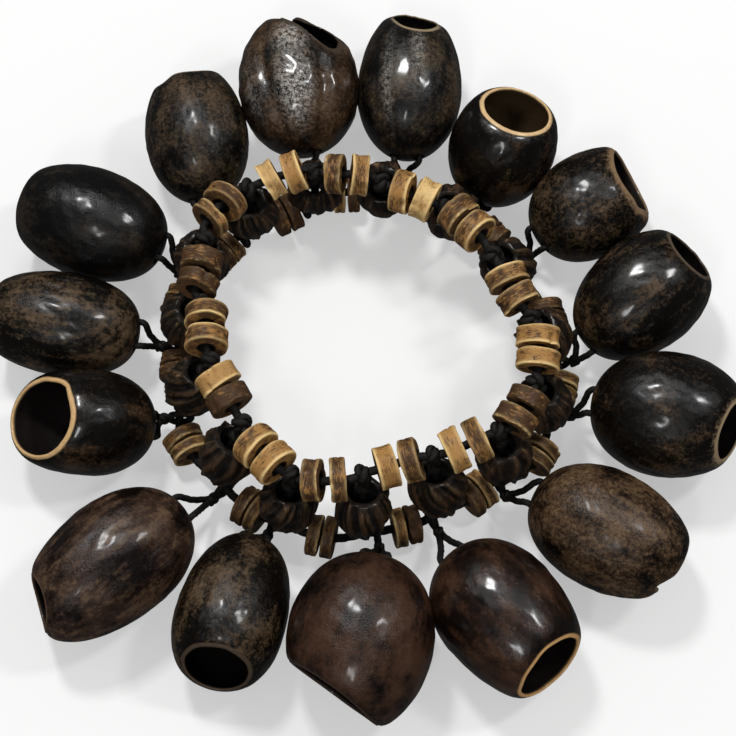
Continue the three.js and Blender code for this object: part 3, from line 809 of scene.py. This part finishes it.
# A point of an egg for an angle round it and a share t of the way from stem to tip: the radius follows a
# power of the sine of the share's angle, times one plus the unevenness, and the height follows its cosine,
# each half with its own length.
def eggPoint(angle, t, radius, girth, stem, tip, shape, blunt):
    a = np.pi * t
    span = np.where(a < np.pi / 2, stem, tip)
    r = radius * np.sin(a) ** blunt * (1 + shape(angle, a))
    return roundY(r, angle, girth - span * np.cos(a))


# A dimple pushes a surface towards the nut's middle round each eye hole, less and less up to its slope's end.
def withEyes(points):
    form = shellForm
    for side in (-1, 1):
        distance = np.hypot(points[..., 0] - side * layout["eyeSpacing"] / 2, points[..., 2])
        near = points[..., 1] < layout["eyeDepth"]
        dip = 1 - np.clip((distance - form["eyeRadius"]) / form["eyeSlope"], 0, 1)
        points[..., 1] += near * form["eyeDip"] * dip
    return points


# A nut's own unevenness, as a share of its width: creases are bells round an angle; ridges, lumps and dents
# are waves over both angles that fade towards the ends.
def unevenness(look, random):
    phases = random.uniform(0, 6.28, 8)
    ripples = [
        (int(random.integers(5, 34)), random.uniform(-32, 32), random.uniform(0, 6.28))
        for _ in range(shellForm["ripples"])
    ]

    def shape(phi, a):
        belly = np.sin(a) ** 2
        lobes = 0.0
        for where, width, depth in look["creases"]:
            away = wrapped(phi - where - shellForm["creaseLean"] * np.cos(a))
            lobes = lobes - depth * bell(away / width) * np.sin(a) ** 0.7
        ridges = look["ridges"] * np.cos(9 * phi + phases[0] + 0.8 * np.sin(a * 2 + phases[1])) * belly
        lumps = np.cos(2 * phi + phases[2]) + 0.7 * np.cos(3 * phi + 2 * a + phases[3])
        lumps = lumps + 0.5 * np.cos(5 * phi - 3 * a + phases[4])
        small = 0.25 * np.cos(8 * phi + 5 * a + phases[5]) + 0.2 * np.cos(6 * phi - 8 * a + phases[6])
        dents = sum(np.cos(k * phi + m * a + start) for k, m, start in ripples)
        return lobes + ridges + look["lump"] * (lumps + small) * belly * 0.6 + look["dents"] * dents * belly

    return shape


# How far past the mouth's plane the shell ends at each angle: waves, less a bell for each chip
def mouthCut(angle, look, random):
    cut = shellForm["cutWander"] * waves(random, angle, 2, 9)
    for where, width, depth in look["chips"]:
        away = wrapped(angle - where)
        cut = cut - depth * np.exp(-(np.abs(away / width) ** look["chipEdge"]))
    return cut


# The share of the way from stem to tip where each line of a surface meets the mouth, by halving its range
def edgeShares(surface, angle, length, normal, cut):
    low, high = np.full(len(angle), 0.3), np.full(len(angle), 1.0)
    for _ in range(shellForm["halvings"]):
        middle = (low + high) / 2
        beyond = (surface(angle, middle) - [0, length, 0]) @ normal > cut
        high, low = np.where(beyond, middle, high), np.where(beyond, low, middle)
    return low


# How far an edge is drawn in at a distance from it: a quarter circle over its reach
def rounding(distance, reach):
    return (1 - np.sqrt(1 - np.clip(1 - distance / reach, 0, 1) ** 2))[..., None]


# A shell's rings in its own axes: the outside from stem to mouth, the lip, and the inside back to the stem.
# Each side is an egg, whose tip is as long as its mouth's width asks.
def shellRings(nut, look, angle, normal, cut, shape):
    form, wall = shellForm, layout["shellWall"]
    length, width, girth = nut["length"], nut["width"], nut["girth"]

    def egg(across, stem, opening):
        tip = (length - girth) / np.sqrt(1 - (opening / across) ** 2)
        return lambda phi, t: eggPoint(phi, t, across / 2, girth, stem, tip, shape, look["blunt"])

    outside = egg(width, girth, nut["mouth"])
    inside = egg(width - 2 * wall, girth - wall, nut["mouth"] - 2 * look["lip"])
    outerEdge, innerEdge = (edgeShares(side, angle, length, normal, cut) for side in (outside, inside))
    coarse = np.linspace(0, form["fineFrom"], form["outerSteps"] - form["fineSteps"] + 1)[1:]
    fine = np.linspace(form["fineFrom"], 1, form["fineSteps"] + 1)[1:]
    outerT = outerEdge[None] * np.concatenate([coarse, fine])[:, None]
    innerT = innerEdge[None] * np.linspace(0, 1, form["innerSteps"] + 1)[1:, None]
    outer = withEyes(outside(angle[None], outerT))
    inner = inside(angle[None], innerT)[::-1]
    toEdge = np.linalg.norm(outer - outer[-1], axis=-1)
    toInnerEdge = np.linalg.norm(inner - inner[0], axis=-1)
    inwards = unit(outer[-1].mean(0) - outer[-1])
    inner = inner - inwards * form["innerRound"] * rounding(toInnerEdge, form["innerReach"])
    outer = outer + inwards * look["round"] * rounding(toEdge, form["outerReach"])
    across = np.linspace(0, 1, form["lipSteps"] + 2)[1:-1, None, None]
    rise = normal * form["lipRise"] * np.sin(np.pi * across) ** form["lipFullness"]
    lip = outer[-1][None] * (1 - across) + inner[0][None] * across + rise
    t = np.concatenate([outerT, np.repeat(outerEdge[None], form["lipSteps"] + form["innerSteps"], 0)])
    return np.concatenate([outer, lip, inner]), toEdge, t


# What the lacquer reads, ring by ring and then for the two poles: lip, inside, nearness of the edge, painted
# highlight, and the place its grain is read at
def shellAttributes(look, angle, toEdge, t, random):
    form = shellForm
    rings, around = t.shape
    lipStart, innerStart = form["outerSteps"], form["outerSteps"] + form["lipSteps"]
    ring = np.arange(rings)[:, None]
    isLip = (ring >= lipStart - 1) & (ring <= innerStart)
    isInside = ring > innerStart
    toEdge = np.concatenate([toEdge, np.zeros((rings - len(toEdge), around))])
    # Painted highlight: a bell round each patch's angle and place, and none inside the shell
    paintedHighlight = 0 * t
    for phi, a, wide, tall, amount in look["paintedHighlight"]:
        across = wrapped(angle - phi) / wide
        paintedHighlight = paintedHighlight + amount * np.exp(-(across**2) - ((np.pi * t - a) / tall) ** 2)
    girth, lengthwise = np.sin(np.pi * t), form["grainLengthwise"]
    grain = np.stack([np.cos(angle) * girth, np.sin(angle) * girth, t * lengthwise], -1).reshape(-1, 3)
    edge = np.exp(-toEdge / form["edgeFade"]) * (ring < lipStart)
    values = dict(lip=(isLip, 0), inside=(isInside, 1), edge=(edge, 0), paintedHighlight=(paintedHighlight * (1 - isInside), 0))
    attributes = {
        key: np.concatenate([overGrid(value, rings, around), [0, atPole]])
        for key, (value, atPole) in values.items()
    }
    poles = [[0, 0, 0], [0, 0, lengthwise]]
    attributes["grain"] = np.concatenate([grain, poles]) + random.uniform(0, 30, 3)
    return attributes


# Where a form goes so that its box has the middle of its node's box and stands at the same height
def placeIn(node, points):
    lowest, highest = (np.array(corner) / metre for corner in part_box(node))
    place = (lowest + highest - points.min(0) - points.max(0)) / 2
    place[2] = lowest[2] - points[:, 2].min()
    return place


# One nut and its hanger: the shell's rings, turned the way the nut points and put where its node is
def makeNut(index):
    nut, station = nuts[index], stations["lower"][index]
    look = dict(shellLook, **nutLooks[index])
    node = numbered("nut_shell", index)
    random = np.random.default_rng(900 + index)
    axis, mouthAxis = nutAxes(nut, station)
    pose = axesAlong(axis)
    normal = pose @ mouthAxis
    angle = circle(shellForm["around"])
    shape = unevenness(look, random)
    cut = mouthCut(angle, look, random)
    grid, toEdge, t = shellRings(nut, look, angle, normal, cut, shape)
    poles = [[0, 0, 0], [0, layout["shellWall"], 0]]
    points = np.concatenate([grid.reshape(-1, 3), poles]) @ pose
    place = placeIn(node, points)
    faces = skinFaces(len(grid), shellForm["around"], False)
    attributes = shellAttributes(look, angle, toEdge, t, random)
    material = shellMaterial(numbered("nut_lacquer", index), look)
    name, body = numbered("shell", index), numbered("nut", index)
    makePiece(name, points + place, faces, material, body, attributes, [node])
    makeHanger(index, station, nut["side"], place, pose)


# Hangers: how much thinner than in the frame their cord is drawn, how far the loop's legs bow out, the knot's
# cord, and where the loop runs in the nut, from one eye to the other
hanger = dict(
    slimness=0.86, bow=0.5, knotCord=1.25, eyeStart=-0.5, eyeEnd=1.6, bend=0.9, narrow=0.8,
    ringPoints=40, legGap=0.1, spacing=0.5,
)


# A hanger: a ring round the lower cord, a knot, and a loop through the two eyes
def makeHanger(index, station, side, place, pose):
    cord, direction = layout["hangerCord"] * hanger["slimness"], station["direction"]
    beside = (1 if side >= 0 else -1) * (layout["lowerKnot"] / 2 + layout["seat"] + cord / 2)
    centre = station["point"] + direction * beside
    s = circle(hanger["ringPoints"])[:, None]
    ring = np.concatenate([ringRadius * np.cos(s), 0 * s, ringRadius * np.sin(s)], 1) @ axesAlong(direction)
    outwards = np.cross(up, direction)
    knot = centre + outwards * (ringRadius + layout["hangerKnot"] / 2 - layout["seat"])
    deep, half = layout["eyeDepth"], layout["eyeSpacing"] / 2
    wayIn = [(half, hanger["eyeStart"]), (half, hanger["eyeEnd"])]
    wayIn.append((half * hanger["narrow"], deep - hanger["bend"]))
    inNut = [(-x, y) for x, y in wayIn] + [(0, deep)] + wayIn[::-1]
    eyes = [place + np.array([x, y, 0]) @ pose for x, y in inNut]
    legs = [(knot + eye) / 2 + outwards * hanger["bow"] for eye in (eyes[0], eyes[-1])]
    loop = [knot, legs[0], *eyes, legs[1], knot + direction * hanger["legGap"]]
    turns = knotPath(knot, direction, layout["hangerKnot"], hanger["knotCord"])
    points, faces, wound = joined([
        cordSurface(centre + ring, cord, True),
        cordSurface(curveThrough(loop, hanger["spacing"]), cord),
        cordSurface(turns, hanger["knotCord"], True),
    ])
    name, body, node = (numbered(kind, index) for kind in ("hanger", "nut", "nut_hanger"))
    makePiece(name, points, faces, cordFinish, body, dict(strand=wound), [node])


for index in range(len(nuts)):
    makeNut(index)
print("nuts made")

# Floor: its two colours, how much of the second shows, and its glow; its half width and its depth are metres.
floorLook = dict(
    colour=(0.50, 0.50, 0.497), patch=(0.48, 0.48, 0.477), patchShare=0.05, patchNoise=(0.02, 2),
    roughness=0.85, specular=0.1, bump=0.01, glow=0.43, halfWidth=3.0, depth=0.0003,
)


# A pale floor that also glows towards the camera, so it shows near white and keeps the shadow
def makeFloor():
    look = floorLook
    g = materialGraph("pale_floor")
    grain = g.noise(g.place(), *look["patchNoise"])
    seen = g.node("ShaderNodeLightPath", {}, {}, "Is Camera Ray")
    colour = g.mix(grain * look["patchShare"], look["colour"], look["patch"])
    g.finish(look, colour, look["roughness"], grain)
    g.feed(g.shader.inputs["Emission Color"], g.mix(seen, (0, 0, 0), (1, 1, 1)))
    g.feed(g.shader.inputs["Emission Strength"], look["glow"])
    mesh = bpy.data.meshes.new("floor")
    wide, deep = look["halfWidth"], look["depth"]
    corners = [(x * wide, y * wide, -deep) for x, y in ((-1, -1), (1, -1), (1, 1), (-1, 1))]
    mesh.from_pydata(corners, [], [(0, 1, 2, 3)])
    mesh.materials.append(g.owner)
    floor = bpy.data.objects.new("floor", mesh)
    bpy.context.scene.collection.objects.link(floor)
    floor.visible_glossy = False


# Room, lights and camera, in metres. A light is its azimuth, elevation, width, height and power.
studio = dict(
    room=0.36, glossy=0.05, lightDistance=0.8,
    lights=dict(
        left=(-30, 64, 0.11, 0.12, 3.0), right=(75, 58, 0.10, 0.11, 1.6), front=(195, 50, 0.08, 0.15, 0.9),
    ),
    cameraDistance=0.45, cameraElevation=67, targetMillimetres=(1.6, -3.0, 8.0),
    photoWidth=736, focalPixels=2250, shiftPixels=-6, sensor=36, nearest=0.01,
)


# A soft light at an azimuth and an elevation, that looks at the middle
def makeLight(name, azimuth, elevation, width, height, power):
    data = bpy.data.lights.new(name, "AREA")
    data.shape = "RECTANGLE"
    data.size, data.size_y, data.energy = width, height, power
    light = bpy.data.objects.new(name, data)
    a, e = np.radians(azimuth), np.radians(elevation)
    direction = Vector((np.sin(a) * np.cos(e), np.cos(a) * np.cos(e), np.sin(e)))
    light.location = direction * studio["lightDistance"]
    light.rotation_euler = (-direction).to_track_quat("-Z", "Y").to_euler()
    bpy.context.scene.collection.objects.link(light)


# The photograph's view: from the near side, at its elevation, looking at a point by the bracelet's middle
def makeCamera():
    x, y, z = studio["targetMillimetres"]
    target = Vector((x + offset[0], y + offset[1], z)) * metre
    tilt = np.radians(studio["cameraElevation"])
    data = bpy.data.cameras.new("camera")
    data.sensor_width = studio["sensor"]
    data.lens = studio["sensor"] * studio["focalPixels"] / studio["photoWidth"]
    data.shift_y = studio["shiftPixels"] / studio["photoWidth"]
    data.clip_start = studio["nearest"]
    camera = bpy.data.objects.new("camera", data)
    away = Vector((0, -np.cos(tilt), np.sin(tilt)))
    camera.location = target + away * studio["cameraDistance"]
    camera.rotation_euler = away.to_track_quat("Z", "Y").to_euler()
    bpy.context.scene.collection.objects.link(camera)
    bpy.context.scene.camera = camera


# The room is white to the camera, even to matt surfaces, and dim in the lacquer's reflections: its strength
# is the dim one plus, for camera rays, what is missing to 1.
def makeWorld():
    g = Graph(bpy.data.worlds.new("world"), "Background")
    glossy = g.node("ShaderNodeLightPath", {}, {}, "Is Glossy Ray")
    seen = g.node("ShaderNodeLightPath", {}, {}, "Is Camera Ray")
    dim = glossy * (studio["glossy"] - studio["room"]) + studio["room"]
    g.feed(g.shader.inputs["Color"], (1, 1, 1))
    g.feed(g.shader.inputs["Strength"], dim + seen * (1 - dim))
    bpy.context.scene.world = g.owner
    bpy.context.scene.view_settings.view_transform = "Standard"


makeFloor()
for name, values in studio["lights"].items():
    makeLight(name, *values)
makeCamera()
makeWorld()

print("stage made")
